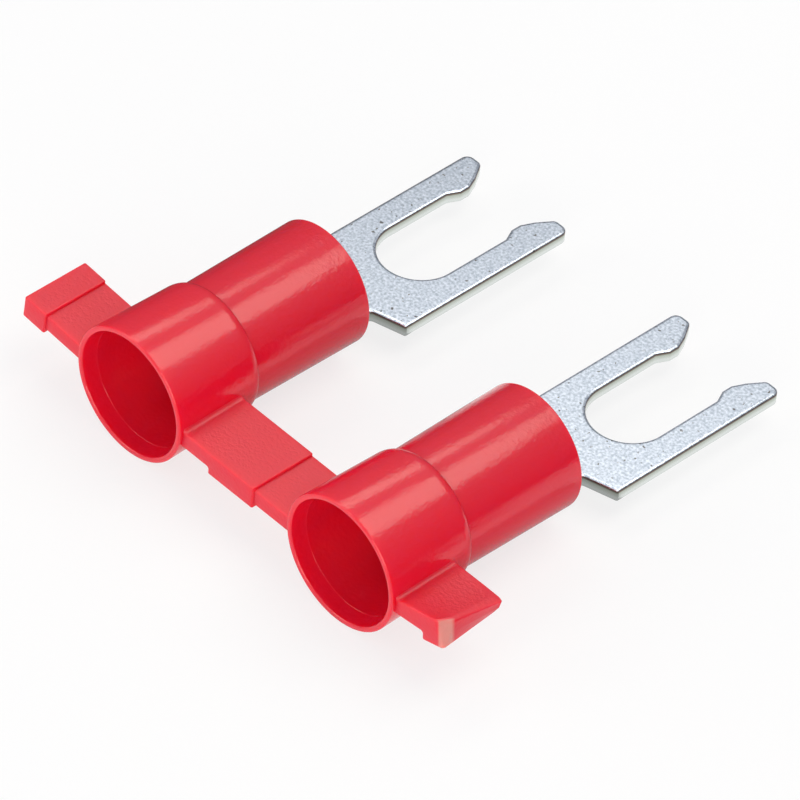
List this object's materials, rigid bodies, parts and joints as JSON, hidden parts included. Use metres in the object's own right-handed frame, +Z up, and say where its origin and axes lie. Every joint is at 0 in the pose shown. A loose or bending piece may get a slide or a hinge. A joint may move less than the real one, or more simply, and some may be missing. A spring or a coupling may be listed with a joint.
{
  "type": "locking fork terminal strip",
  "caption": "Vinyl-insulated crimp terminals with locking fork tongues, moulded side by side into a strip by webs for feeding a crimping press.",
  "frame": {"origin": "under the middle of the strip, on the surface that the sleeves lie on", "axes": "+X along the strip from the left terminal to the right one, +Y along the terminals from the wire mouths to the fork tips, +Z up from the tongues' stud faces"},
  "size_m": [0.0258, 0.0226, 0.0064],
  "materials": {
    "red_vinyl": "satin gloss, slightly translucent soft vinyl",
    "tinned_copper": "matt electro-tinned copper, finely mottled"
  },
  "bodies": {
    "root": {"insulation_strip": "red_vinyl", "fork_terminal_left": "tinned_copper", "fork_terminal_right": "tinned_copper"}
  },
  "joints": []
}
